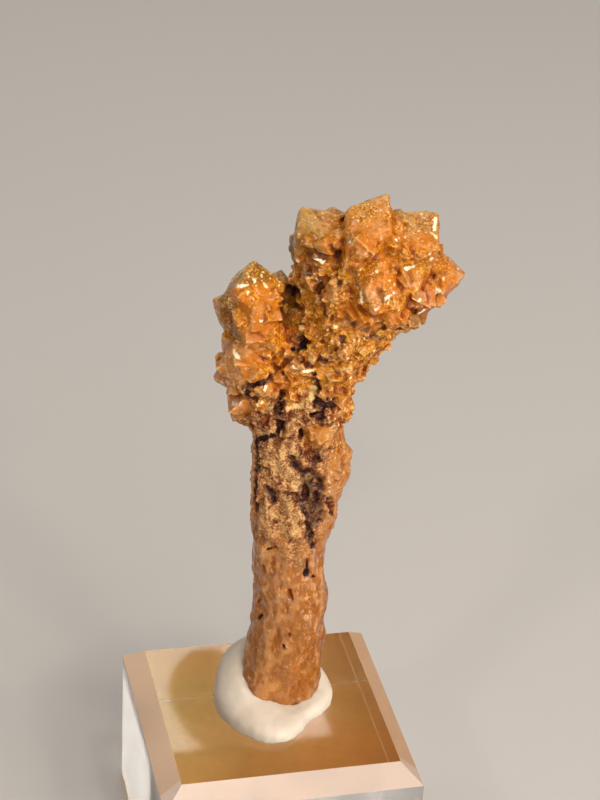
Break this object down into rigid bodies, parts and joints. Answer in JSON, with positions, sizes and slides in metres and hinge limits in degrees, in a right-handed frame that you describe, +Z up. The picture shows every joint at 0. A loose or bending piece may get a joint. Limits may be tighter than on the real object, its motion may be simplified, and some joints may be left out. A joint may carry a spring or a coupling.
{
  "type": "calcite specimen",
  "caption": "Orange calcite stalactite that forks into two crystal heads, standing in white tack on a clear bevelled display block.",
  "frame": {"origin": "centre of the square underside that the display rests on", "axes": "+Z up along the stalk; X and Y along the display block's sides; the specimen's front faces -Y"},
  "size_m": [0.0335, 0.03, 0.0874],
  "materials": {
    "calcite": "waxy translucent orange crystal, frosted at the tips",
    "mineral_tack": "soft matte white putty",
    "acrylic_block": "clear polished acrylic",
    "backing_paper": "matte brown paper"
  },
  "bodies": {
    "root": {"calcite": "calcite", "mineral_tack": "mineral_tack", "acrylic_block": "acrylic_block", "backing_paper": "backing_paper"}
  },
  "joints": []
}
